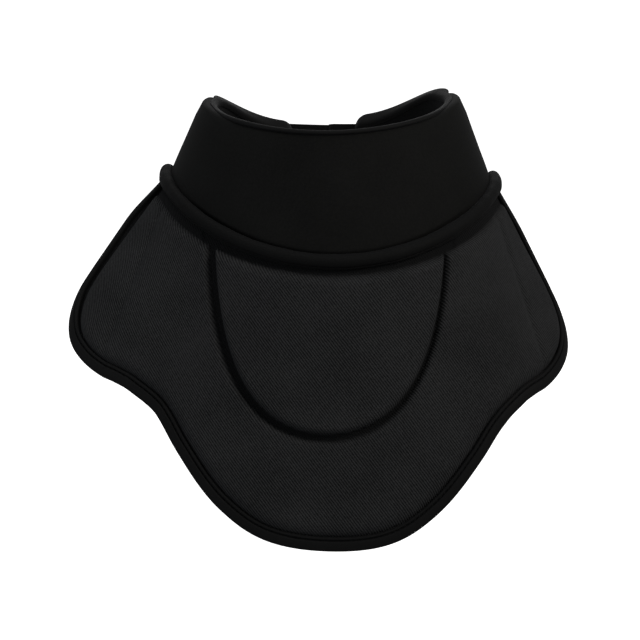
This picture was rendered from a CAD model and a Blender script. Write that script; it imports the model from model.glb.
"""Looks of the padded throat collar with its chest bib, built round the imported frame."""
import math

import bpy
import numpy as np
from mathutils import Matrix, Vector


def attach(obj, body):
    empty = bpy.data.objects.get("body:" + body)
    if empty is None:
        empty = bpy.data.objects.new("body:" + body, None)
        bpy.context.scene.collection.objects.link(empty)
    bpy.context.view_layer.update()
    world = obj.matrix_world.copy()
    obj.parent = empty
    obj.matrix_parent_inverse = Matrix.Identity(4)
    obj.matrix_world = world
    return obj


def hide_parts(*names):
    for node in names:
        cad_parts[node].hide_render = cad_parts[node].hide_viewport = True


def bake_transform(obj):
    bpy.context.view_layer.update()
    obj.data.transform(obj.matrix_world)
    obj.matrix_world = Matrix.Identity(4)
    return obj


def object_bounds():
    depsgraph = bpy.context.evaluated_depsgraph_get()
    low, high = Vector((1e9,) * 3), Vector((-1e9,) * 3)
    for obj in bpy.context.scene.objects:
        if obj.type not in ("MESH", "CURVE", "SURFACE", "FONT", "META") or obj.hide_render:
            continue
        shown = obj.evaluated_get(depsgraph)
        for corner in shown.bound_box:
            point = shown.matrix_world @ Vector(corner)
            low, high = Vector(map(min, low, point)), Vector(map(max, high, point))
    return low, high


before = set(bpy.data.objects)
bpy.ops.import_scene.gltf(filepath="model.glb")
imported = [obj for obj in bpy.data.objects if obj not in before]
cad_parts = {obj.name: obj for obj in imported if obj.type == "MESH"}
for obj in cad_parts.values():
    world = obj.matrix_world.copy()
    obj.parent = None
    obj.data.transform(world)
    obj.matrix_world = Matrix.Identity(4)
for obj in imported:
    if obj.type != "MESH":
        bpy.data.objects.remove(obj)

cad_low, cad_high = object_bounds()
MM = 0.001

# ---------------------------------------------------------------- camera, stage, light

CAMERA_DISTANCE = 1.3
CAMERA_ELEVATION = math.radians(6.0)
LENS = 128.30625
SENSOR = 36.0
LOOK_AT = Vector((-0.006, -0.010, -0.0837))


def aim(obj, target):
    obj.rotation_euler = (target - obj.location).to_track_quat("-Z", "Y").to_euler()


def link(obj):
    bpy.context.scene.collection.objects.link(obj)
    return obj


def make_camera():
    data = bpy.data.cameras.new("camera")
    data.sensor_width = SENSOR
    data.lens = LENS
    data.clip_start = 0.05
    data.clip_end = 60.0
    camera = link(bpy.data.objects.new("camera", data))
    camera.location = CAMERA_DISTANCE * Vector(
        (0.0, -math.cos(CAMERA_ELEVATION), math.sin(CAMERA_ELEVATION))
    )
    aim(camera, LOOK_AT)
    bpy.context.scene.camera = camera


def area_light(name, place, target, size, power, colour=(1.0, 1.0, 1.0)):
    data = bpy.data.lights.new(name, "AREA")
    data.shape = "RECTANGLE"
    data.size, data.size_y = size
    data.energy = power
    data.color = colour
    lamp = link(bpy.data.objects.new(name, data))
    lamp.location = place
    aim(lamp, Vector(target))


make_camera()
scene = bpy.context.scene
scene.view_settings.view_transform = "Standard"
scene.view_settings.look = "None"

world = bpy.data.worlds.new("studio")
scene.world = world
world.use_nodes = True
world.node_tree.nodes["Background"].inputs["Color"].default_value = (1.0, 1.0, 1.0, 1.0)
world.node_tree.nodes["Background"].inputs["Strength"].default_value = 0.24

MIDDLE = (0.0, -0.05, -0.07)
area_light("key", (1.1, -0.9, 0.9), MIDDLE, (0.7, 0.7), 9.0, (1.0, 0.95, 0.88))
area_light("fill", (-1.2, -1.0, 0.15), MIDDLE, (0.9, 0.9), 2.6, (0.90, 0.96, 1.0))
area_light("top", (-0.15, -0.1, 1.4), MIDDLE, (0.8, 0.8), 3.5)
area_light("rear", (0.1, 1.3, 0.5), MIDDLE, (0.9, 0.9), 2.0)


# ---------------------------------------------------------------- material helpers


def new_material(name):
    material = bpy.data.materials.new(name)
    material.use_nodes = True
    return material, material.node_tree.nodes, material.node_tree.links


def set_inputs(node, values):
    for socket, value in values.items():
        node.inputs[socket].default_value = value


def add_node(nodes, kind, values):
    node = nodes.new("ShaderNode" + kind)
    set_inputs(node, values)
    return node


def glow_material(name):
    material, nodes = new_material(name)[:2]
    set_inputs(nodes["Principled BSDF"], {
        "Base Color": (0.9, 0.9, 0.9, 1.0),
        "Roughness": 0.9,
        "Emission Color": (1.0, 1.0, 1.0, 1.0),
        "Emission Strength": 1.0,
    })
    return material


def stage_piece(name, shadow):
    """Makes the object added last a glowing part of the studio."""
    piece = bpy.context.object
    piece.name = name
    piece.data.materials.append(glow_material(name))
    piece.visible_diffuse = False
    piece.visible_glossy = False
    piece.visible_shadow = shadow


bpy.ops.mesh.primitive_plane_add(size=16.0, location=(0.0, 0.0, cad_low.z - 0.03))
stage_piece("floor", True)
bpy.ops.mesh.primitive_uv_sphere_add(segments=48, ring_count=24, radius=8.0)
stage_piece("backdrop", False)


BLOTCH_SCALE, FLECK_SCALE = 28.0, 750.0
PATTERN_SHARE = 0.35
RAMP_ENDS = (0.30, 0.70)


def fabric(
    name, colour, light_colour, roughness, sheen, bumps, specular=0.1, speckle=0.3, tape_colour=None
):
    """Cloth: each bump is (kind, scale in 1/m, strength, depth in m, angle in degrees).

    Lines follow the piece's flat coordinates, noise fills its own space.
    Tape colour shows where the piece's channel is 1.
    """
    material, nodes, links = new_material(name)
    shader = nodes["Principled BSDF"]
    set_inputs(shader, {
        "Roughness": roughness,
        "Specular IOR Level": specular,
        "Sheen Weight": sheen,
        "Sheen Roughness": 0.45,
        "Sheen Tint": (0.9, 0.92, 1.0, 1.0),
    })
    flat = nodes.new("ShaderNodeUVMap")
    flat.uv_map = "flat"
    space = nodes.new("ShaderNodeTexCoord")
    normal_out = None
    pattern_out = None
    for kind, scale, strength, depth, angle in bumps:
        if kind == "noise":
            texture = add_node(nodes, "TexNoise", {"Scale": scale, "Detail": 3.0})
            links.new(space.outputs["Object"], texture.inputs["Vector"])
        else:
            turn = add_node(nodes, "Mapping", {"Rotation": (0.0, 0.0, math.radians(angle))})
            links.new(flat.outputs["UV"], turn.inputs["Vector"])
            waves = {"Scale": scale, "Distortion": 0.6, "Detail": 1.0, "Detail Scale": 1.5}
            texture = add_node(nodes, "TexWave", waves)
            links.new(turn.outputs["Vector"], texture.inputs["Vector"])
            pattern_out = pattern_out or texture.outputs["Fac"]
        bump = add_node(nodes, "Bump", {"Strength": strength, "Distance": depth})
        links.new(texture.outputs["Fac"], bump.inputs["Height"])
        if normal_out is not None:
            links.new(normal_out, bump.inputs["Normal"])
        normal_out = bump.outputs["Normal"]
    links.new(normal_out, shader.inputs["Normal"])
    # Colour wanders slowly across the cloth and follows the weave.
    blotch = add_node(nodes, "TexNoise", {"Scale": BLOTCH_SCALE, "Detail": 6.0})
    links.new(space.outputs["Object"], blotch.inputs["Vector"])
    # Fine flecks of lighter and darker yarn.
    fleck = add_node(nodes, "TexNoise", {"Scale": FLECK_SCALE, "Detail": 2.0})
    links.new(space.outputs["Object"], fleck.inputs["Vector"])
    mixed = nodes.new("ShaderNodeMix")
    mixed.data_type = "FLOAT"
    mixed.inputs["Factor"].default_value = speckle
    links.new(blotch.outputs["Fac"], mixed.inputs["A"])
    links.new(fleck.outputs["Fac"], mixed.inputs["B"])
    source = mixed.outputs["Result"]
    if pattern_out is not None:
        blend = nodes.new("ShaderNodeMath")
        blend.operation = "MULTIPLY_ADD"
        blend.inputs[1].default_value = PATTERN_SHARE
        links.new(pattern_out, blend.inputs[0])
        scaled = nodes.new("ShaderNodeMath")
        scaled.operation = "MULTIPLY"
        scaled.inputs[1].default_value = 1.0 - PATTERN_SHARE
        links.new(source, scaled.inputs[0])
        links.new(scaled.outputs[0], blend.inputs[2])
        source = blend.outputs[0]
    ramp = nodes.new("ShaderNodeValToRGB")
    for end, position, shade in zip(ramp.color_ramp.elements, RAMP_ENDS, (colour, light_colour)):
        end.position = position
        end.color = (*shade, 1.0)
    links.new(source, ramp.inputs["Fac"])
    colour_out = ramp.outputs["Color"]
    if tape_colour is not None:
        channel = nodes.new("ShaderNodeAttribute")
        channel.attribute_name = "channel"
        tape = nodes.new("ShaderNodeMix")
        tape.data_type = "RGBA"
        cloth_in, tape_in = [socket for socket in tape.inputs if socket.type == "RGBA"]
        tape_in.default_value = (*tape_colour, 1.0)
        links.new(channel.outputs["Fac"], tape.inputs["Factor"])
        links.new(colour_out, cloth_in)
        colour_out = [socket for socket in tape.outputs if socket.type == "RGBA"][0]
    links.new(colour_out, shader.inputs["Base Color"])
    return material


TWILL = fabric(
    "twill", (0.0062, 0.0066, 0.0071), (0.0350, 0.0358, 0.0372), 0.8, 0.03,
    [("noise", 1300.0, 0.35, 0.0004, 0.0), ("lines", 242.0, 0.55, 0.0005, -38.0)],
    speckle=0.55, tape_colour=(0.0052, 0.0055, 0.0059),
)
JERSEY = fabric(
    "jersey", (0.0024, 0.0026, 0.0025), (0.0088, 0.0090, 0.0087), 0.75, 0.02,
    [("noise", 1500.0, 0.22, 0.0003, 0.0), ("lines", 520.0, 0.12, 0.0002, 90.0)],
    speckle=0.5,
)
BINDING = fabric(
    "binding", (0.0032, 0.0034, 0.0036), (0.0075, 0.0077, 0.0079), 0.65, 0.02,
    [("noise", 1600.0, 0.2, 0.0003, 0.0), ("lines", 620.0, 0.15, 0.0002, 0.0)],
)
ROLL = fabric(
    "roll", (0.0020, 0.0022, 0.0023), (0.0052, 0.0054, 0.0055), 0.7, 0.02,
    [("noise", 1600.0, 0.2, 0.0003, 0.0), ("lines", 620.0, 0.15, 0.0002, 0.0)],
)
LINING = fabric(
    "lining", (0.0055, 0.0058, 0.006), (0.0105, 0.0107, 0.011), 0.9, 0.06,
    [("noise", 1100.0, 0.4, 0.0005, 0.0), ("lines", 330.0, 0.2, 0.0003, 45.0)],
)
WEBBING = fabric(
    "webbing", (0.006, 0.006, 0.0063), (0.012, 0.012, 0.0125), 0.6, 0.03,
    [("lines", 300.0, 0.6, 0.0006, 90.0), ("lines", 420.0, 0.4, 0.0004, 0.0)],
)
LOOP = fabric(
    "loop_pile", (0.005, 0.005, 0.0053), (0.012, 0.012, 0.0125), 0.95, 0.12,
    [("noise", 1400.0, 0.9, 0.0009, 0.0)],
)
HOOK = fabric(
    "hook_pile", (0.007, 0.007, 0.0075), (0.013, 0.013, 0.0135), 0.45, 0.0,
    [("lines", 420.0, 0.9, 0.0007, 0.0), ("lines", 420.0, 0.9, 0.0007, 90.0)],
)
THREAD = fabric(
    "thread", (0.008, 0.008, 0.0085), (0.014, 0.014, 0.0145), 0.55, 0.03,
    [("noise", 3000.0, 0.3, 0.0002, 0.0)],
)
RUBBER = fabric(
    "pull_rubber", (0.007, 0.007, 0.0075), (0.011, 0.011, 0.0115), 0.5, 0.0,
    [("lines", 330.0, 0.7, 0.0005, 90.0)], specular=0.3,
)
PLATE = fabric(
    "stiffener", (0.20, 0.20, 0.20), (0.24, 0.24, 0.24), 0.4, 0.0,
    [("noise", 500.0, 0.15, 0.0002, 0.0)], specular=0.4,
)

# ---------------------------------------------------------------- shape of the shell (mm)
# The same driving dimensions as the CAD model, in millimetres.

BASE_HALF_WIDTH, BASE_HALF_DEPTH, BASE_FRONT_DROP = 90.0, 80.0, 36.0
TOP_HALF_WIDTH, TOP_HALF_DEPTH, TOP_SIDE_HEIGHT = 72.6, 62.0, 43.0
TOP_FRONT_DROP, TOP_SHIFT = 14.0, 0.3
LEFT_REAR_FALL = (115.0, 53.0, 15.5)
RIGHT_REAR_FALL = (102.0, 60.0, 18.5)
GUIDE_HALF_WIDTH, GUIDE_HALF_DEPTH, GUIDE_CENTRE_Y, GUIDE_Z = 227.0, 61.0, -58.0, -230.0
RIBS = (
    (0.0, 0.0, 159.0),
    (11.0, 10.0, 156.2),
    (21.0, 18.5, 144.4),
    (34.0, 29.0, 123.4),
    (44.0, 37.0, 109.5),
    (55.0, 45.0, 105.0),
    (64.5, 50.5, 104.8),
    (73.0, 56.0, 106.0),
    (78.5, 65.0, 105.8),
    (83.0, 75.0, 103.0),
    (86.0, 82.5, 96.0),
    (87.8, 87.0, 84.6),
    (88.5, 88.5, 70.0),
)
SEAM_RIB = 7
LAST_RIB = len(RIBS) - 1
SIDE_SHIFT, SIDE_TWIST, SIDE_START, SIDE_SPAN = -6.5, 6.0, 95.0, 46.0
HEM_SHIFT, HEM_SHIFT_START, HEM_SHIFT_SPAN = -1.6, 110.0, 60.0
BASE_TILT, HEM_TILT, TOP_TILT = -0.02, -0.034, 0.016
GROOVE_DEPTH, GROOVE_HALF_ANGLE, GROOVE_CENTRE = 98.5, 45.0, -0.8
GROOVE_BLUNTNESS, GROOVE_TAPER = 2.1, 1.15
TAB_HINGE_ANGLE = 118.0
TAB_ENDS = {1: 168.5, -1: 162.0}
COLLAR_FOOT = 0.3


def unit(v):
    return v / np.linalg.norm(v, axis=-1, keepdims=True)


def ramp(value):
    t = np.clip(value, 0.0, 1.0)
    return t * t * (3.0 - 2.0 * t)


def curve_value(values, position):
    """Smooth curve through evenly numbered values."""
    values = np.asarray(values, float)
    index = np.clip(np.floor(position).astype(int), 0, len(values) - 2)
    f = position - index
    before = values[np.maximum(index - 1, 0)]
    start = values[index]
    end = values[index + 1]
    after = values[np.minimum(index + 2, len(values) - 1)]
    square = 2.0 * before - 5.0 * start + 4.0 * end - after
    cube = 3.0 * start - before - 3.0 * end + after
    return 0.5 * (2.0 * start + (end - before) * f + square * f**2 + cube * f**3)


def front_fall(angle):
    c = np.cos(np.radians(angle))
    return 0.5 * c + 0.5 * c * c


def settle(x, y, z, tilt):
    """Lean of the soft shell: the sides shift and twist, one side sits lower."""
    share = np.clip((np.abs(x) - SIDE_START) / SIDE_SPAN, 0.0, 1.0)
    low = np.clip((-z - HEM_SHIFT_START) / HEM_SHIFT_SPAN, 0.0, 1.0)
    shift = SIDE_SHIFT * share + HEM_SHIFT * low
    return np.stack((x + shift, y + SIDE_TWIST * share * np.sign(x), z + tilt * x), -1)


def base_point(angle):
    a = np.radians(angle)
    x = BASE_HALF_WIDTH * np.sin(a)
    y = -BASE_HALF_DEPTH * np.cos(a)
    return settle(x, y, -BASE_FRONT_DROP * front_fall(angle), BASE_TILT)


def top_point(angle):
    a = np.radians(angle)
    wrapped = (angle + 180.0) % 360.0 - 180.0
    left, right = np.array(LEFT_REAR_FALL), np.array(RIGHT_REAR_FALL)
    start, span, fall = np.where((wrapped > 0.0)[..., None], left, right).transpose(
        -1, *range(wrapped.ndim)
    )
    rear = fall * ramp((np.abs(wrapped) - start) / span)
    x = TOP_HALF_WIDTH * np.sin(a) + TOP_SHIFT
    y = -TOP_HALF_DEPTH * np.cos(a)
    return settle(x, y, TOP_SIDE_HEIGHT - TOP_FRONT_DROP * front_fall(angle) - rear, TOP_TILT)


def collar_frames(angle):
    """Base points, up directions, outward normals and heights of the collar."""
    angle = np.asarray(angle, float)
    base = base_point(angle)
    rise = top_point(angle) - base
    ahead = base_point(angle + 0.5) + top_point(angle + 0.5)
    behind = base_point(angle - 0.5) + top_point(angle - 0.5)
    up = unit(rise)
    return base, up, unit(np.cross(ahead - behind, up)), np.linalg.norm(rise, axis=-1)


MIRRORED = [(-n, -g, r) for n, g, r in RIBS[:0:-1]] + list(RIBS)


def rib_ends(rib):
    """Neckline points and hem points of ribs."""
    position = np.asarray(rib, float) + LAST_RIB
    neck_angle = curve_value([row[0] for row in MIRRORED], position)
    guide_angle = curve_value([row[1] for row in MIRRORED], position)
    length = curve_value([row[2] for row in MIRRORED], position)
    a = np.radians(guide_angle)
    start = np.stack((
        BASE_HALF_WIDTH * np.sin(a),
        -BASE_HALF_DEPTH * np.cos(a),
        -BASE_FRONT_DROP * front_fall(guide_angle),
    ), -1)
    guide = np.stack((
        GUIDE_HALF_WIDTH * np.sin(a),
        GUIDE_CENTRE_Y - GUIDE_HALF_DEPTH * np.cos(a),
        np.full_like(a, GUIDE_Z),
    ), -1)
    hem = start + length[..., None] * unit(guide - start)
    return base_point(neck_angle), settle(hem[..., 0], hem[..., 1], hem[..., 2], HEM_TILT)


def bib_frames(rib):
    """Neckline points, downward directions, outward normals and lengths of ribs."""
    rib = np.asarray(rib, float)
    start, end = rib_ends(rib)
    ahead, behind = rib_ends(rib + 0.05), rib_ends(rib - 0.05)
    down = unit(end - start)
    normal = unit(np.cross(down, ahead[0] + ahead[1] - behind[0] - behind[1]))
    return start, down, normal, np.linalg.norm(end - start, axis=-1)


def neck_angle_of(rib):
    return curve_value([row[0] for row in MIRRORED], np.asarray(rib, float) + LAST_RIB)


def rib_of(neck_angle):
    table = np.linspace(-LAST_RIB, LAST_RIB, 481)
    return np.interp(neck_angle, neck_angle_of(table), table)


def groove_depth(neck_angle):
    share = np.minimum(np.abs(neck_angle - GROOVE_CENTRE) / GROOVE_HALF_ANGLE, 1.0)
    return GROOVE_DEPTH * (1.0 - share**GROOVE_BLUNTNESS) ** GROOVE_TAPER


# ---------------------------------------------------------------- mesh helpers


SHARP_ANGLE = math.radians(58.0)


def new_piece(name, points, faces, material, flat=None, channel=None):
    """Mesh object from points in millimetres; flat holds cloth coordinates in millimetres.

    Channel is 1 where smooth dark tape shows and 0 on the cloth.
    """
    mesh = bpy.data.meshes.new(name)
    mesh.from_pydata((np.asarray(points) * MM).tolist(), [], [list(map(int, f)) for f in faces])
    mesh.update()
    obj = link(bpy.data.objects.new(name, mesh))
    mesh.materials.append(material)
    mesh.polygons.foreach_set("use_smooth", [True] * len(mesh.polygons))
    mesh.set_sharp_from_angle(angle=SHARP_ANGLE)
    if channel is not None:
        values = mesh.attributes.new(name="channel", type="FLOAT", domain="POINT")
        values.data.foreach_set("value", np.asarray(channel, np.float32))
    if flat is not None:
        layer = mesh.uv_layers.new(name="flat")
        corner = np.zeros(len(mesh.loops), int)
        mesh.loops.foreach_get("vertex_index", corner)
        layer.data.foreach_set("uv", (np.asarray(flat)[corner] * MM).ravel())
    return obj


def grid_faces(columns, rows, closed=False):
    """Quads of a grid stored column by column; closed joins the last row to the first."""
    c = np.arange(columns - 1)[:, None] * rows
    last = rows if closed else rows - 1
    r = np.arange(last)[None, :]
    after = (r + 1) % rows
    return np.stack((c + r, c + rows + r, c + rows + after, c + after), -1).reshape(-1, 4)


def closed_shell(front, back, faces):
    """Front faces, matching back faces and a wall round every open edge."""
    front, back = front.reshape(-1, 3), back.reshape(-1, 3)
    count = len(front)
    edges = np.concatenate([faces[:, [k, (k + 1) % 4]] for k in range(4)])
    key = np.sort(edges, 1)
    packed = key[:, 0] * count + key[:, 1]
    order, seen = np.unique(packed, return_counts=True)
    lone = edges[np.isin(packed, order[seen == 1])]
    walls = np.stack((lone[:, 1], lone[:, 0], lone[:, 0] + count, lone[:, 1] + count), -1)
    everything = np.concatenate((faces, faces[:, ::-1] + count, walls))
    points = np.concatenate((front, back))
    used = np.unique(everything)
    renumber = np.zeros(len(points), int)
    renumber[used] = np.arange(len(used))
    return points[used], renumber[everything], used


def run_along(points):
    """Distance travelled along a line of points, from 0 at the first."""
    return np.cumsum(np.linalg.norm(np.diff(points, axis=0, prepend=points[:1]), axis=1))


def wrapped_piece(name, front, back, material, run, levels):
    """Closed piece between two grids, with cloth coordinates run and levels."""
    points, made, used = closed_shell(front, back, grid_faces(*levels.shape))
    flat = np.stack(np.broadcast_arrays(run[:, None], levels), -1).reshape(-1, 2)
    return new_piece(name, points, made, material, np.concatenate((flat, flat))[used])


def point_segments(points, line):
    """Distance from each point to a polyline."""
    best = np.full(len(points), 1e9)
    for a, b in zip(line[:-1], line[1:]):
        along = b - a
        share = np.clip((points - a) @ along / max(along @ along, 1e-9), 0.0, 1.0)
        gap = np.linalg.norm(points - a - share[:, None] * along, axis=1)
        best = np.minimum(best, gap)
    return best


def ripple(points, size):
    """Slow unevenness of soft padding, the same on every run."""
    x, y, z = points[..., 0], points[..., 1], points[..., 2]
    waves = (
        np.sin(0.061 * x + 0.043 * z + 0.7) * np.sin(0.052 * z - 0.031 * y + 1.9)
        + 0.6 * np.sin(0.113 * x - 0.087 * z + 2.1) * np.sin(0.093 * z + 0.051 * x + 0.4)
        + 0.3 * np.sin(0.21 * x + 0.17 * z + 1.1) * np.sin(0.19 * z - 0.23 * x + 2.6)
    )
    return size * waves / 1.9


def puff_by_cloth(name, grid, normals, pinned, cap):
    """Runs a cloth with air pressure behind it on a coarse grid; returns the lift in mm."""
    columns, rows = grid.shape[:2]
    faces = grid_faces(columns, rows)
    obj = new_piece(name, grid.reshape(-1, 3), faces, TWILL)
    group = obj.vertex_groups.new(name="pinned")
    for index, weight in enumerate(pinned.ravel()):
        if weight > 0.0:
            group.add([index], float(weight), "REPLACE")
    modifier = obj.modifiers.new("puff", "CLOTH")
    cloth = modifier.settings
    cloth.quality = 6
    cloth.mass = 0.25
    cloth.tension_stiffness = 18.0
    cloth.compression_stiffness = 12.0
    cloth.shear_stiffness = 6.0
    cloth.bending_stiffness = 0.8
    cloth.vertex_group_mass = "pinned"
    cloth.use_pressure = True
    cloth.uniform_pressure_force = 4.0
    cloth.effector_weights.gravity = 0.0
    modifier.collision_settings.use_collision = False
    modifier.point_cache.frame_start = 1
    modifier.point_cache.frame_end = 20
    for step in range(1, 21):
        scene.frame_set(step)
    evaluated = obj.evaluated_get(bpy.context.evaluated_depsgraph_get())
    moved = np.zeros(len(evaluated.data.vertices) * 3)
    evaluated.data.vertices.foreach_get("co", moved)
    shift = moved.reshape(columns, rows, 3) / MM - grid
    lift = np.einsum("ijk,ijk->ij", shift, normals)
    bpy.data.objects.remove(obj)
    scene.frame_set(1)
    return cap * np.tanh(np.maximum(lift, 0.0) / cap)


def sample_grid(values, x, y):
    """Bilinear look-up in a grid at fractional column x and row y."""
    columns, rows = values.shape
    x = np.clip(x, 0.0, columns - 1.001)
    y = np.clip(y, 0.0, rows - 1.001)
    i, j = x.astype(int), y.astype(int)
    f, g = x - i, y - j
    return (
        values[i, j] * (1 - f) * (1 - g)
        + values[i + 1, j] * f * (1 - g)
        + values[i, j + 1] * (1 - f) * g
        + values[i + 1, j + 1] * f * g
    )


def soft_rise(distance, width):
    """Edge of a stuffed pad: steep at the seam, level one width away."""
    return 1.0 - (1.0 - np.clip(distance / width, 0.0, 1.0)) ** 2.4


# ---------------------------------------------------------------- bib

# Rib numbers and millimetres; levels are heights above the shell.
SPLIT_RIB, BIB_END, WING_END, LINING_END = 6.82, 11.985, 11.999, 11.9
COLUMN_RUNS = ((0.0, 4.0, 116), (4.0, 7.0, 54), (7.0, 12.0, 74))
BIB_ROWS, BIB_TOP, BIB_INSET = 132, 3.0, 1.2
PUFF_COLUMNS, PUFF_ROWS, PUFF_TOP, PUFF_INSET = 141, 40, 5.0, 4.0
PIN_REACH, BIB_PUFF_CAP = 1.6, 1.7
SEAM_SPOTS = np.array([[0.0, 60.0, 130.0]])
SEAM_MIDDLE, SEAM_DEPTH, SEAM_WIDTH = 60.0, 0.9, 2.1
PAD_LINE = 11.3
PAD_LINE_SIDE = 3.2
FLANGE_LEVEL = 0.8
SIDE_LEVEL = 3.9
CENTRE_LEVEL = 6.2
GROOVE_FLOOR = 0.1
BINDING_WIDTH = 8.0
UNDER_BINDING = -0.9
BACK_LEVEL = -2.4
STITCH_LINE = 5.7
TOP_EDGE_WIDTH, HEM_EDGE_WIDTH, GROOVE_EDGE_WIDTH = 6.0, 6.5, 3.0
GROOVE_REACH = 6.0
BIB_RIPPLE = 0.35
LINING_FRONT, LINING_BACK, LINING_RIPPLE = -2.6, -3.7, 0.25
EDGE_SPACING, REAR_EDGE_TOP = 1.6, 5.0
FOLD_REACH = 3.0
WING_BULGE = {1: 1.8, -1: 4.4}


def pad_line(neck_angle):
    return PAD_LINE + PAD_LINE_SIDE * ramp(np.abs(neck_angle) / 75.0)


def wing_bulge(rib, share):
    """How far a wing's rear part stands outward below its top."""
    side = np.where(rib > 0.0, WING_BULGE[1], WING_BULGE[-1])
    return side * ramp((np.abs(rib) - 8.5) / 3.0) * ramp(share / 0.55)


def channel_half(neck_angle):
    """Half the width of the tape in the groove: wide on the wearer's right, thin on the left."""
    return 1.25 - 0.7 * np.tanh((neck_angle - 14.0) / 12.0)


def bib_surface(ribs, levels, out=0.0):
    """Points at rib numbers, distances down each rib and heights above the shell."""
    start, down, normal, length = bib_frames(ribs)
    share = np.clip(levels / length[..., None], 0.0, 1.0)
    bow = wing_bulge(ribs[..., None], share)
    return (
        start[..., None, :]
        + levels[..., None] * down[..., None, :]
        + (out + bow)[..., None] * normal[..., None, :]
    )


def hem_points(ribs):
    length = bib_frames(ribs)[3][:, None]
    return bib_surface(ribs, length)[:, 0]


def hem_line(count=200):
    """Outline of the bib, from the top of one rear edge round to the other."""
    ribs = np.linspace(-LAST_RIB, LAST_RIB, 2 * count + 1)
    length = bib_frames(ribs)[3]
    edges = []
    for index in (0, -1):
        levels = np.linspace(0.0, length[index], 40)[None, :]
        edges.append(bib_surface(ribs[index, None], levels)[0])
    return np.concatenate((edges[0], hem_points(ribs), edges[1][::-1]))


HEM_LINE = hem_line()


def distances(ribs, levels, points):
    """Distances in mm to the pad line, hem, groove and wing seams for a grid of points."""
    flat_points = points.reshape(-1, 3)
    angles = neck_angle_of(ribs)[:, None]
    to_pad_line = levels - pad_line(angles)
    to_hem = point_segments(flat_points, HEM_LINE[::3]).reshape(levels.shape) - BINDING_WIDTH
    groove_angles = GROOVE_CENTRE + np.linspace(-GROOVE_HALF_ANGLE, GROOVE_HALF_ANGLE, 121)
    start, down = bib_frames(rib_of(groove_angles))[:2]
    groove = start + groove_depth(groove_angles)[:, None] * down
    to_groove = point_segments(flat_points, groove).reshape(levels.shape)
    to_seam = np.full(levels.shape, 1e9)
    for side in (-1, 1):
        seam = np.array([side * float(SEAM_RIB)])
        spots = bib_surface(seam, SEAM_SPOTS)[0]
        to_seam = np.minimum(to_seam, point_segments(flat_points, spots).reshape(levels.shape))
    inside = levels < groove_depth(angles)
    inside &= np.abs(angles - GROOVE_CENTRE) < GROOVE_HALF_ANGLE
    return to_pad_line, to_hem, to_groove, to_seam, inside


def bib_columns():
    """Rib numbers of the pad's columns, closest together in the middle."""
    steps = []
    for low, high, count in COLUMN_RUNS:
        steps.append(np.linspace(low, high, count, endpoint=False))
    half = np.concatenate(steps + [np.array([BIB_END])])
    return np.concatenate((-half[:0:-1], half))


def bib_levels(ribs, rows, start, inset):
    length = bib_frames(ribs)[3]
    share = np.linspace(0.0, 1.0, rows)[None, :]
    return start + share * (length[:, None] - inset - start)


def bib_puff():
    """Lift of the padding from the cloth run, as a coarse grid over rib and share."""
    ribs = np.linspace(-LINING_END, LINING_END, PUFF_COLUMNS)
    levels = bib_levels(ribs, PUFF_ROWS, PUFF_TOP, PUFF_INSET)
    points = bib_surface(ribs, levels)
    to_pad_line, to_hem, to_groove, to_seam = distances(ribs, levels, points)[:4]
    nearest = np.minimum.reduce((to_pad_line, to_hem, to_groove - 1.0, to_seam + 0.8))
    pinned = (nearest < PIN_REACH).astype(float)
    normals = np.repeat(bib_frames(ribs)[2][:, None, :], PUFF_ROWS, axis=1)
    return puff_by_cloth("bib_cloth", points, normals, pinned, BIB_PUFF_CAP)


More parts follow.
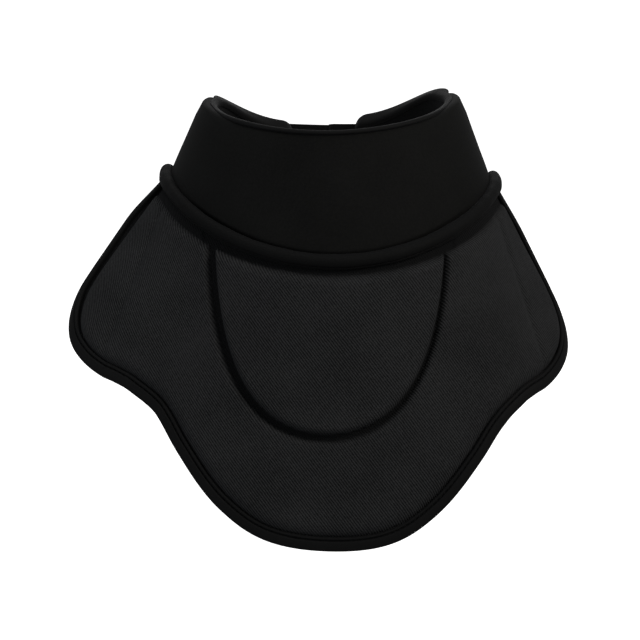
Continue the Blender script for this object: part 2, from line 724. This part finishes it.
def build_bib():
    ribs = bib_columns()
    levels = bib_levels(ribs, BIB_ROWS, BIB_TOP, BIB_INSET)
    base = bib_surface(ribs, levels)
    to_pad_line, to_hem, to_groove, to_seam, inside = distances(ribs, levels, base)
    puff = bib_puff()
    length = bib_frames(ribs)[3][:, None]
    column = (ribs[:, None] + LINING_END) / (2.0 * LINING_END) * (PUFF_COLUMNS - 1)
    row = (levels - PUFF_TOP) / (length - PUFF_TOP - PUFF_INSET) * (PUFF_ROWS - 1)
    lift = sample_grid(puff, np.broadcast_to(column, levels.shape), row)
    top_edge = soft_rise(to_pad_line, TOP_EDGE_WIDTH)
    edge = np.minimum(top_edge, soft_rise(to_hem - 0.3, HEM_EDGE_WIDTH))
    half = channel_half(neck_angle_of(ribs))[:, None]
    wall = np.minimum(edge, soft_rise(to_groove - half, GROOVE_EDGE_WIDTH))
    level = np.where(inside, CENTRE_LEVEL, SIDE_LEVEL)
    floor = np.where(to_groove < GROOVE_REACH, GROOVE_FLOOR, FLANGE_LEVEL)
    out = floor + (level - floor) * wall + lift * wall
    out -= SEAM_DEPTH * np.exp(-((to_seam / SEAM_WIDTH) ** 2)) * edge
    out += ripple(base, BIB_RIPPLE) * wall
    tucked = np.clip((to_hem + 0.2) / 1.2, 0.0, 1.0)
    out = UNDER_BINDING + (out - UNDER_BINDING) * tucked
    front = bib_surface(ribs, levels, out)
    back = bib_surface(ribs, levels, BACK_LEVEL)
    # Cloth coordinates: distance round the body and height.
    step = np.linalg.norm(np.diff(base[..., :2], axis=0), axis=-1)
    across = np.concatenate((np.zeros((1, BIB_ROWS)), np.cumsum(step, axis=0)))
    across -= across[len(ribs) // 2][None, :]
    flat = np.stack((across, base[..., 2]), -1).reshape(-1, 2)
    both = np.concatenate((flat, flat))
    faces = grid_faces(len(ribs), BIB_ROWS)
    face_rib = ribs[faces[:, 0] // BIB_ROWS]
    face_inside = inside.reshape(-1)[faces[:, 0]]
    # Smooth dark tape shows in the sewn channels.
    depth_in = np.maximum(half + 0.2 - to_groove, 0.1 - to_pad_line)
    taped = np.clip(depth_in / 0.9 + 0.5, 0.0, 1.0).reshape(-1)
    taped = np.concatenate((taped, taped))
    pieces = {}
    for name, chosen in (
        ("bib_centre_pad", face_inside),
        ("bib_surround_pad", ~face_inside & (np.abs(face_rib) < SPLIT_RIB)),
        ("wing_pad_left", face_rib >= SPLIT_RIB),
        ("wing_pad_right", face_rib <= -SPLIT_RIB),
    ):
        points, made, used = closed_shell(front, back, faces[chosen])
        pieces[name] = new_piece(name, points, made, TWILL, both[used], taped[used])
    return pieces


def swept_closed(name, frames, profile, material, flip=False):
    """Closed tube with flat caps swept along frames (point, inward, normal).

    The profile is one closed loop, or one loop for each frame.
    """
    point, inward, normal = frames
    profile = np.broadcast_to(profile, (len(point),) + np.shape(profile)[-2:])
    points = (
        point[:, None, :]
        + profile[..., :1] * inward[:, None, :]
        + profile[..., 1:2] * normal[:, None, :]
    )
    columns, rows = points.shape[:2]
    faces = grid_faces(columns, rows, closed=True).tolist()
    faces.append(list(range(rows))[::-1])
    faces.append(list(range((columns - 1) * rows, columns * rows)))
    if flip:
        faces = [face[::-1] for face in faces]
    run, round_it = run_along(point), run_along(profile[0])
    flat = np.stack(np.broadcast_arrays(run[:, None], round_it[None, :]), -1).reshape(-1, 2)
    return new_piece(name, points.reshape(-1, 3), faces, material, flat)


def smooth_profile(corners, count):
    """Closed smooth loop near the given corners."""
    corners = np.asarray(corners, float)
    total = len(corners)
    t = np.linspace(0.0, total, count, endpoint=False)
    index = np.floor(t).astype(int)
    f = (t - index)[:, None]
    a, b, c = corners[(index - 1) % total], corners[index % total], corners[(index + 1) % total]
    start, end = 0.5 * (a + b), 0.5 * (b + c)
    return (1 - f) ** 2 * start + 2 * f * (1 - f) * b + f**2 * end


HEM_PROFILE = smooth_profile(
    (
        (7.9, 0.3), (7.6, 1.5), (6.8, 1.8), (6.1, 1.75), (5.7, -0.1), (5.3, 1.8),
        (4.4, 1.95), (2.2, 1.8), (0.1, 1.3), (-0.35, -1.8),
        (0.1, -4.8), (2.5, -5.3), (5.5, -5.2), (7.9, -4.6), (7.7, -2.6), (6.5, -1.6),
    ),
    64,
)


def hem_frames(low, high, count, rear_side=0):
    """Frames along the hem between two ribs, then up a rear edge if rear_side is set."""
    ribs = np.linspace(low, high, count)
    down, normal, length = bib_frames(ribs)[1:]
    point = hem_points(ribs)
    hint = -down
    if rear_side:
        levels = np.linspace(length[-1], REAR_EDGE_TOP, 70)[None, 1:]
        rear = bib_surface(np.array([high]), levels)[0]
        across = np.cross(normal[-1], down[-1]) * rear_side
        point = np.concatenate((point, rear))
        normal = np.concatenate((normal, np.repeat(normal[-1:], len(rear), 0)))
        hint = np.concatenate((hint, np.repeat(-across[None, :], len(rear), 0)))
    # Even spacing along the edge.
    run = run_along(point)
    even = np.linspace(0.0, run[-1], int(run[-1] / EDGE_SPACING) + 2)
    point = np.stack([np.interp(even, run, point[:, k]) for k in range(3)], -1)
    normal = unit(np.stack([np.interp(even, run, normal[:, k]) for k in range(3)], -1))
    hint = np.stack([np.interp(even, run, hint[:, k]) for k in range(3)], -1)
    travel = np.gradient(point, axis=0)
    kernel = np.array([1.0, 2.0, 3.0, 2.0, 1.0]) / 9.0
    for k in range(3):
        padded = np.pad(travel[:, k], 2, mode="edge")
        travel[:, k] = np.convolve(padded, kernel, "valid")
    travel = unit(travel)
    inward = unit(np.cross(normal, travel))
    inward *= np.sign(np.einsum("ij,ij->i", inward, hint))[:, None]
    square = unit(np.cross(travel, inward))
    square *= np.sign(np.einsum("ij,ij->i", square, normal))[:, None]
    return point, inward, square


STITCH_LENGTH, STITCH_GAP, STITCH_OUT = 2.2, 0.9, 0.75
THREAD_HALF_WIDTH, THREAD_RISE = 0.45, 0.35


def stitches(name, frames, offset, out, material):
    """Row of separate thread stitches that follows an edge at an inward offset."""
    point, inward, normal = frames
    path = point + offset * inward + out * normal
    run = run_along(path)
    pitch = STITCH_LENGTH + STITCH_GAP
    starts = np.arange(STITCH_GAP, run[-1] - pitch, pitch)
    points, faces = [], []
    shape = [(-1.0, 0.0), (-0.6, 0.7), (0.0, 1.0), (0.6, 0.7), (1.0, 0.0), (0.0, -0.6)]
    for begin in starts:
        places = begin + STITCH_LENGTH * np.linspace(0.0, 1.0, 5)
        centre = np.stack([np.interp(places, run, path[:, k]) for k in range(3)], -1)
        side = unit(np.stack([np.interp(places, run, inward[:, k]) for k in range(3)], -1))
        up = unit(np.stack([np.interp(places, run, normal[:, k]) for k in range(3)], -1))
        swell = np.array((0.25, 0.85, 1.0, 0.85, 0.25))
        dip = np.array((-0.25, 0.0, 0.05, 0.0, -0.25))
        offset_base = len(points) * len(shape) * 5
        ring = [
            centre
            + (a * THREAD_HALF_WIDTH * swell)[:, None] * side
            + (b * THREAD_RISE * swell + dip)[:, None] * up
            for a, b in shape
        ]
        points.append(np.stack(ring, 1).reshape(-1, 3))
        faces.append(grid_faces(5, len(shape), closed=True) + offset_base)
        caps = np.array([[0, 1, 2, 3], [3, 4, 5, 0]])
        faces.append(caps[:, ::-1] + offset_base)
        faces.append(caps + offset_base + 4 * len(shape))
    points = np.concatenate(points)
    return new_piece(name, points, np.concatenate(faces), material, points[:, [0, 2]])


def blend_at(obj, body_a, body_b, centre, direction, reach):
    """Blend across a fold line: centre and direction in mm, reach each way in mm."""
    direction = unit(np.asarray(direction, float))
    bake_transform(obj)


def sew(obj, slot, holder, *nodes):
    """Sets a piece's slot, what it rides on and the CAD nodes it stands for.

    Holder is one body, or a fold: the values that blend_at takes after the piece.
    """
    if isinstance(holder, str):
        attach(obj, holder)
    else:
        blend_at(obj, *holder)
    if nodes:
        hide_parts(*nodes)


def wing_fold(side):
    """Middle of a wing's fold line and the direction across it, away from the bib."""
    start, down, normal = (v[0] for v in bib_frames(np.array([side * float(SEAM_RIB)]))[:3])
    return start + SEAM_MIDDLE * down, side * np.cross(normal, down)


SIDES = ((1, "left"), (-1, "right"))
bib = build_bib()
for part in ("bib_centre", "bib_surround"):
    sew(bib[f"{part}_pad"], "twill_shell", "collar", f"{part}_foam", f"{part}_cover")

frames = hem_frames(-SPLIT_RIB, SPLIT_RIB, 600)
hem = swept_closed("bib_hem", frames, HEM_PROFILE, BINDING)
sew(hem, "binding_tape", "collar", "bib_edge_binding")
hem_thread = stitches("bib_hem_stitches", frames, STITCH_LINE, STITCH_OUT, BINDING)
sew(hem_thread, "binding_tape", "collar")


def back_sheet(name, low, high, columns):
    """Knit lining over the back of the bib between two ribs, a little quilted."""
    ribs = np.linspace(low, high, columns)
    rows = 50
    levels = bib_levels(ribs, rows, 1.0, 3.0)
    base = bib_surface(ribs, levels)
    front = bib_surface(ribs, levels, LINING_FRONT)
    back = bib_surface(ribs, levels, LINING_BACK + ripple(base, LINING_RIPPLE))
    points, made, used = closed_shell(front, back, grid_faces(columns, rows))
    flat = np.concatenate((base[..., [0, 2]].reshape(-1, 2),) * 2)[used]
    obj = new_piece(name, points, made, LINING, flat)
    return obj


lining = back_sheet("bib_lining_cloth", -SPLIT_RIB, SPLIT_RIB, 120)
sew(lining, "lining_knit", "collar", "bib_lining")

for side, word in SIDES:
    fold = ("collar", f"wing_{word}", *wing_fold(side), FOLD_REACH)
    covered = (f"wing_foam_{word}", f"wing_cover_{word}", f"wing_root_{word}")
    sew(bib[f"wing_pad_{word}"], "twill_shell", fold, *covered)
    frames = hem_frames(side * SPLIT_RIB, side * WING_END, 300, rear_side=side)
    tape = swept_closed(f"wing_hem_{word}", frames, HEM_PROFILE, BINDING, flip=side < 0)
    sew(tape, "binding_tape", fold, f"wing_binding_{word}")
    thread = stitches(f"wing_hem_stitches_{word}", frames, STITCH_LINE, STITCH_OUT, BINDING)
    sew(thread, "binding_tape", fold)
    cloth = back_sheet(f"wing_lining_cloth_{word}", side * SPLIT_RIB, side * LINING_END, 60)
    sew(cloth, "lining_knit", fold, f"wing_lining_{word}")

# ---------------------------------------------------------------- neckline roll

ROLL_RADIUS, ROLL_BELOW, ROLL_OUT, ROLL_HALF_ANGLE, ROLL_BLEND_START = 4.0, 4.2, 1.6, 97.0, 62.0

ROLL_CREASE, ROLL_CREASE_AT = 0.3, math.radians(36.0)


def roll_frames(angles):
    limit = RIBS[LAST_RIB][0]
    down, normal = bib_frames(rib_of(np.clip(angles, -limit, limit)))[1:3]
    base, up, outward = collar_frames(angles)[:3]
    share = ramp((np.abs(angles) - ROLL_BLEND_START) / (ROLL_HALF_ANGLE - ROLL_BLEND_START))
    share = share[:, None]
    fall = unit((1.0 - share) * down - share * up)
    out = unit((1.0 - share) * normal + share * outward)
    out = unit(out - np.einsum("ij,ij->i", out, fall)[:, None] * fall)
    return base + ROLL_BELOW * fall + ROLL_OUT * out, fall, out


def build_roll():
    angles = np.linspace(-ROLL_HALF_ANGLE, ROLL_HALF_ANGLE, 260)
    centre, fall, out = roll_frames(angles)
    around = np.linspace(0.0, 2.0 * math.pi, 72, endpoint=False)
    end = np.clip((ROLL_HALF_ANGLE - np.abs(angles)) / 3.0, 0.0, 1.0)
    taper = np.sqrt(np.maximum(1.0 - (1.0 - end) ** 2, 0.01))
    uneven = 1.0 + 0.025 * np.sin(0.31 * angles + 0.6) + 0.015 * np.sin(0.83 * angles + 2.0)
    radius = (ROLL_RADIUS + 0.25) * taper * uneven
    pucker = 1.0 + 0.012 * np.sin(2.9 * angles)[:, None] * np.cos(around)[None, :]
    pucker = pucker - ROLL_CREASE * np.exp(-(((around - ROLL_CREASE_AT) / 0.1) ** 2))[None, :]
    points = (
        centre[:, None, :]
        + (radius[:, None] * pucker * np.cos(around))[..., None] * fall[:, None, :]
        + (radius[:, None] * pucker * np.sin(around))[..., None] * out[:, None, :]
    )
    faces = grid_faces(len(angles), len(around), closed=True)[:, ::-1].tolist()
    faces.append(list(range(len(around))))
    faces.append(list(range((len(angles) - 1) * len(around), len(angles) * len(around)))[::-1])
    round_it = ROLL_RADIUS * around[None, :]
    flat = np.stack(np.broadcast_arrays(run_along(centre)[:, None], round_it), -1).reshape(-1, 2)
    obj = new_piece("neckline_bead", points.reshape(-1, 3), faces, ROLL, flat)
    sew(obj, "binding_tape", "collar", "neckline_roll")


build_roll()

# ---------------------------------------------------------------- collar and rear tabs

COLLAR_SPLIT = 100.0
RIM_HEIGHT = 2.3
COLLAR_BACK = -8.1
TAB_CORNER, TAB_MM_PER_DEGREE = 8.0, 1.36
COLLAR_PUFF_END, COLLAR_PUFF_STEP, COLLAR_PUFF_ROWS, COLLAR_PUFF_CAP = 168.0, 2.0, 18, 0.9
TAB_FOLD_REACH = 7.0
RIM_PROFILE = smooth_profile(
    (
        (2.3, -0.6), (2.1, 0.45), (0.5, 0.45), (-0.5, -0.9), (-0.5, -4.4), (-0.3, -8.0),
        (1.0, -9.6), (2.9, -9.8), (3.4, -8.9), (3.0, -7.0), (2.6, -4.4), (2.5, -1.8),
    ),
    36,
)


# At the sides the cover rolls over the top, and only the rim's inner half shows.
SIDE_RIM_PROFILE = smooth_profile(
    (
        (1.6, -5.6), (0.4, -4.6), (-0.35, -4.7), (-0.75, -6.0), (-0.65, -7.4), (-0.1, -8.8),
        (1.0, -9.6), (2.9, -9.8), (3.4, -8.9), (3.0, -7.4), (2.6, -6.6), (2.3, -6.0),
    ),
    36,
)
RIM_TURN_START, RIM_TURN_SPAN = 40.0, 38.0
RIM_RETURN_END, RIM_RETURN_SPAN = 115.0, 13.0


def rim_turn(angles):
    """0 where the rim faces forward, 1 where the cover rolls over the top."""
    turning = ramp((np.abs(angles) - RIM_TURN_START) / RIM_TURN_SPAN)
    return turning * ramp((RIM_RETURN_END - np.abs(angles)) / RIM_RETURN_SPAN)


def rim_profiles(turned):
    turned = turned[:, None, None]
    return (1.0 - turned) * RIM_PROFILE[None] + turned * SIDE_RIM_PROFILE[None]


def collar_surface(angles, levels, out=0.0):
    base, up, normal = collar_frames(angles)[:3]
    return (
        base[..., None, :]
        + levels[..., None] * up[..., None, :]
        + np.asarray(out)[..., None] * normal[..., None, :]
    )


def tab_end_share(angles, side):
    """How far the tab's rounded end cuts into its height at an angle, in mm."""
    span = TAB_CORNER / TAB_MM_PER_DEGREE
    into = np.clip((np.abs(angles) - (TAB_ENDS[side] - span)) / span, 0.0, 1.0)
    return TAB_CORNER * (1.0 - np.sqrt(np.maximum(1.0 - into**2, 0.0)))


def collar_puff():
    steps = round(2.0 * COLLAR_PUFF_END / COLLAR_PUFF_STEP)
    angles = np.linspace(-COLLAR_PUFF_END, COLLAR_PUFF_END, steps + 1)
    height = collar_frames(angles)[3]
    share = np.linspace(0.0, 1.0, COLLAR_PUFF_ROWS)[None, :]
    levels = COLLAR_FOOT + share * (height[:, None] - RIM_HEIGHT - COLLAR_FOOT)
    points = collar_surface(angles, levels)
    pinned = np.zeros(levels.shape)
    pinned[:, 0] = pinned[:, -1] = 1.0
    pinned[0] = pinned[-1] = 1.0
    normals = np.repeat(collar_frames(angles)[2][:, None, :], COLLAR_PUFF_ROWS, axis=1)
    return puff_by_cloth("collar_cloth", points, normals, pinned, COLLAR_PUFF_CAP)


collar_lift = collar_puff()


FOOT_TUCK = 2.6
CREASE_DEPTH, CREASE_HEIGHT = 1.3, 1.2
ROLLED_ROWS = 12
ROLL_OVER, OVER_SINK, OVER_START, OVER_REACH = 2.4, 0.15, -0.5, 2.6
COLLAR_REST, SIDE_FULLNESS, COLLAR_RIPPLE = -1.1, 0.6, 0.3


def collar_pad(name, angles, side=0):
    """Stuffed body of the collar or of a rear tab, up to its rim."""
    rows = 44
    height = collar_frames(angles)[3]
    cut = tab_end_share(angles, side) if side else np.zeros(len(angles))
    behind_hinge = np.clip((np.abs(angles) - TAB_HINGE_ANGLE) / 3.0, 0.0, 1.0)
    foot = COLLAR_FOOT - FOOT_TUCK + behind_hinge * (RIM_HEIGHT + FOOT_TUCK - 0.6) + cut
    top = height - RIM_HEIGHT + 0.6 - cut
    top = np.maximum(top, foot + 0.5)
    share = 0.5 - 0.5 * np.cos(np.linspace(0.0, math.pi, rows))[None, :]
    levels = foot[:, None] + share * (top - foot)[:, None]
    base = collar_surface(angles, levels)
    column = np.broadcast_to((angles[:, None] + COLLAR_PUFF_END) / COLLAR_PUFF_STEP, levels.shape)
    row = (levels - COLLAR_FOOT) / (height[:, None] - RIM_HEIGHT - COLLAR_FOOT)
    lift = sample_grid(collar_lift, column, row * (COLLAR_PUFF_ROWS - 1))
    to_top = top[:, None] - 0.6 - levels
    fullness = SIDE_FULLNESS + lift + ripple(base, COLLAR_RIPPLE)
    out = COLLAR_REST + fullness * soft_rise(to_top + 0.2, 3.0)
    tuck = CREASE_DEPTH * (1.0 - ramp((np.abs(angles) - 45.0) / 20.0))[:, None]
    out -= tuck * ramp(1.0 - levels / CREASE_HEIGHT)
    # The last rows carry the cover over the top towards the inside.
    share_over = rim_turn(angles)[:, None]
    over = np.clip((np.arange(rows) - rows + ROLLED_ROWS + 1) / ROLLED_ROWS, 0.0, 1.0)[None, :]
    arc = over * 0.5 * math.pi
    rolled_level = height[:, None] - ROLL_OVER + ROLL_OVER * np.sin(arc) - OVER_SINK
    rolled_out = OVER_START - ROLL_OVER * (1.0 - np.cos(arc)) - OVER_REACH * over**2
    lower = np.minimum(levels / top[:, None], 1.0) * (height[:, None] - ROLL_OVER)
    rolled_level = np.where(over > 0.0, rolled_level, lower)
    rolled_out = np.where(over > 0.0, rolled_out, out + SIDE_FULLNESS)
    levels = (1.0 - share_over) * levels + share_over * rolled_level
    out = (1.0 - share_over) * out + share_over * rolled_out
    if side:
        to_end = (TAB_ENDS[side] - np.abs(angles))[:, None] * TAB_MM_PER_DEGREE - RIM_HEIGHT
        to_foot = levels - foot[:, None] + 9.0 * (1.0 - behind_hinge)[:, None]
        out = np.minimum(out, -0.9 + 2.2 * soft_rise(np.minimum(to_end, to_foot) + 0.3, 3.0))
    front = collar_surface(angles, levels, out)
    back = collar_surface(angles, levels, COLLAR_BACK)
    obj = wrapped_piece(name, front, back, JERSEY, run_along(base[:, 0]), levels)
    return obj


def collar_lining(name, angles, side=0):
    """Knit lining on the inside of the collar or of a rear tab."""
    rows = 30
    height = collar_frames(angles)[3]
    cut = tab_end_share(angles, side) if side else np.zeros(len(angles))
    behind_hinge = np.clip((np.abs(angles) - TAB_HINGE_ANGLE) / 3.0, 0.0, 1.0)
    foot = COLLAR_FOOT - 0.3 + behind_hinge * RIM_HEIGHT + cut
    top = np.maximum(height - RIM_HEIGHT + 0.5 - cut, foot + 0.4)
    share = np.linspace(0.0, 1.0, rows)[None, :]
    levels = foot[:, None] + share * (top - foot)[:, None]
    base = collar_surface(angles, levels)
    swell = 0.7 * np.sin(math.pi * share) + ripple(base, 0.25)
    front = collar_surface(angles, levels, COLLAR_BACK - 0.05)
    back = collar_surface(angles, levels, COLLAR_BACK - 0.6 - swell)
    obj = wrapped_piece(name, front, back, LINING, run_along(base[:, 0]), levels)
    return obj


def collar_spot(angle):
    """Base point, up direction, outward normal and height of the collar at one angle."""
    return [v[0] for v in collar_frames(np.array([angle]))]


def rim_frames(angles):
    base, up, normal, height = collar_frames(angles)
    return base + height[:, None] * up, -up, normal


def tab_rim_frames(side):
    """Frames along the top of a rear tab, round its end and back along its foot."""
    span = TAB_CORNER / TAB_MM_PER_DEGREE
    corner_start = TAB_ENDS[side] - span
    turns = np.linspace(0.0, 0.5 * math.pi, 14)
    spots = [(angle, 1, 0.0) for angle in np.linspace(COLLAR_SPLIT, corner_start, 60)]
    spots += [(corner_start + span * math.sin(turn), 1, turn) for turn in turns[1:]]
    spots += [(corner_start + span * math.sin(turn), 0, turn) for turn in turns[::-1]]
    foot_end = TAB_HINGE_ANGLE - 3.0
    spots += [(angle, 0, 0.0) for angle in np.linspace(corner_start, foot_end, 60)[1:]]
    point, inward, normal, turned = [], [], [], []
    for angle, top, turn in spots:
        base, up, out, height = collar_spot(side * angle)
        nearer = collar_spot(side * (angle - 1.0))[0]
        drop = TAB_CORNER * (1.0 - math.cos(turn))
        level = height - drop if top else COLLAR_FOOT + drop
        vertical = -up if top else up
        point.append(base + level * up)
        inward.append(math.cos(turn) * vertical + math.sin(turn) * unit(nearer - base))
        normal.append(out)
        turned.append(top * rim_turn(angle))
    return (np.array(point), unit(np.array(inward)), np.array(normal)), np.array(turned)


front_angles = np.linspace(-COLLAR_SPLIT, COLLAR_SPLIT, 241)
pad = collar_pad("collar_pad", front_angles)
sew(pad, "jersey_shell", "collar", "collar_outer_cover", "collar_foam", "collar_cut_layer")
inner = collar_lining("collar_lining_cloth", front_angles)
sew(inner, "lining_knit", "collar", "collar_lining")
rim_loops = rim_profiles(rim_turn(front_angles))
rim = swept_closed("collar_rim", rim_frames(front_angles), rim_loops, BINDING, flip=True)
sew(rim, "binding_tape", "collar", "collar_top_edge")

for side, word in SIDES:
    base, up, normal, height = collar_spot(side * TAB_HINGE_ANGLE)
    centre = base + 0.5 * height * up
    away = collar_spot(side * (TAB_HINGE_ANGLE + 1.0))[0] - base
    fold = ("collar", f"rear_tab_{word}", centre, away, TAB_FOLD_REACH)
    angles = side * np.linspace(COLLAR_SPLIT, TAB_ENDS[side] - 1.2, 90)
    pad = collar_pad(f"rear_tab_pad_{word}", angles, side)
    sew(pad, "jersey_shell", fold, f"rear_tab_cover_{word}", f"rear_tab_foam_{word}")
    inner = collar_lining(f"rear_tab_lining_cloth_{word}", angles, side)
    sew(inner, "lining_knit", fold, f"rear_tab_lining_{word}")
    frames, turned = tab_rim_frames(side)
    loops = rim_profiles(turned)
    tape = swept_closed(f"rear_tab_rim_{word}", frames, loops, BINDING, flip=side > 0)
    sew(tape, "binding_tape", fold, f"rear_tab_binding_{word}")

# ---------------------------------------------------------------- strap

# Angles run through the wearer's left; layers are heights above the shell in mm.
STRAP_LOW, STRAP_HIGH, STRAP_MM_PER_DEGREE = 3.8, 23.8, 1.4
ANCHOR_SPAN, ANCHOR_LAYER = (143.0, 164.4), (0.6, 2.2)
STRAP_SPAN, STRAP_LAYER = (146.0, 222.0), (2.25, 3.65)
HOOK_SPAN, HOOK_LAYER = (203.0, 220.0), (1.25, 2.2)
GRIP_SPAN, GRIP_LAYER = (214.0, 221.6), (3.6, 4.8)
LOOP_SPAN, LOOP_LAYER = (202.0, 228.0), (0.2, 1.0)
STRAP_FOLD, FOLD_LEVEL, FOLD_OUT = 165.3, 13.8, 2.85


def strap_band(name, span, layer, inset, material, columns, round_end=0.0):
    """Flat tape with soft edges round the nape."""
    angles = np.linspace(*span, columns)
    rows = 26
    low, high = STRAP_LOW + inset, STRAP_HIGH - inset
    into = np.maximum(round_end - (span[1] - angles) * STRAP_MM_PER_DEGREE, 0.0)
    cut = round_end - np.sqrt(np.maximum(round_end**2 - into**2, 0.0))
    share = 0.5 - 0.5 * np.cos(np.linspace(0.0, math.pi, rows))[None, :]
    levels = (low + cut)[:, None] + share * (high - low - 2.0 * cut)[:, None]
    edge = np.minimum(levels - (low + cut)[:, None], (high - cut)[:, None] - levels)
    soft = np.sqrt(np.clip(edge / 0.8, 0.0, 1.0))
    middle, half = 0.5 * (layer[0] + layer[1]), 0.5 * (layer[1] - layer[0])
    front = collar_surface(angles, levels, middle + half * soft)
    back = collar_surface(angles, levels, middle - half * soft)
    return wrapped_piece(name, front, back, material, STRAP_MM_PER_DEGREE * angles, levels)


base, up, normal, height = collar_spot(STRAP_FOLD)
fold_centre = base + FOLD_LEVEL * up + FOLD_OUT * normal
fold_away = collar_spot(STRAP_FOLD + 1.0)[0] - base

anchor = strap_band("strap_anchor_patch", ANCHOR_SPAN, ANCHOR_LAYER, 0.0, WEBBING, 50)
sew(anchor, "webbing", "rear_tab_left", "strap_anchor")
web = strap_band("strap_web", STRAP_SPAN, STRAP_LAYER, 0.0, WEBBING, 130, round_end=6.0)
sew(web, "webbing", ("rear_tab_left", "strap", fold_centre, fold_away, FOLD_REACH), "strap")
hook = strap_band("strap_hook_pile", HOOK_SPAN, HOOK_LAYER, 1.0, HOOK, 40, round_end=5.0)
sew(hook, "hook_tape", "strap", "hook_patch")
grip = strap_band("strap_pull_grip", GRIP_SPAN, GRIP_LAYER, 0.8, RUBBER, 40, round_end=5.2)
sew(grip, "pull_tab_rubber", "strap", "strap_pull_tab")
loops = strap_band("loop_panel", LOOP_SPAN, LOOP_LAYER, 0.5, LOOP, 60)
sew(loops, "loop_tape", "rear_tab_right", "loop_patch")


def box_stitch(name, start, end, inset, out, body):
    """Rectangle of stitches with a diagonal, holding the tape to the tab."""
    low, high = STRAP_LOW + inset, STRAP_HIGH - inset
    corners = [(start, low), (end, low), (end, high), (start, high), (start, low), (end, high)]
    pieces = []
    for (a1, s1), (a2, s2) in zip(corners[:-1], corners[1:]):
        t = np.linspace(0.0, 1.0, 30)
        angles, levels = a1 + (a2 - a1) * t, s1 + (s2 - s1) * t
        frames = collar_frames(angles)
        point = frames[0] + levels[:, None] * frames[1]
        travel = unit(np.gradient(point, axis=0))
        pieces.append((point, unit(np.cross(frames[2], travel)), frames[2]))
    joined = tuple(np.concatenate([piece[k] for piece in pieces]) for k in range(3))
    obj = stitches(name, joined, 0.0, out, THREAD)
    sew(obj, "webbing", body)


box_stitch("strap_box_stitches", 148.0, 162.0, 2.5, STRAP_LAYER[1], "rear_tab_left")
box_stitch("loop_panel_stitches", 203.2, 226.8, 1.8, LOOP_LAYER[1], "rear_tab_right")

for name in ("throat_stiffener", "bib_centre_plate"):
    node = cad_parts[name]
    node.data.materials.clear()
    node.data.materials.append(PLATE)
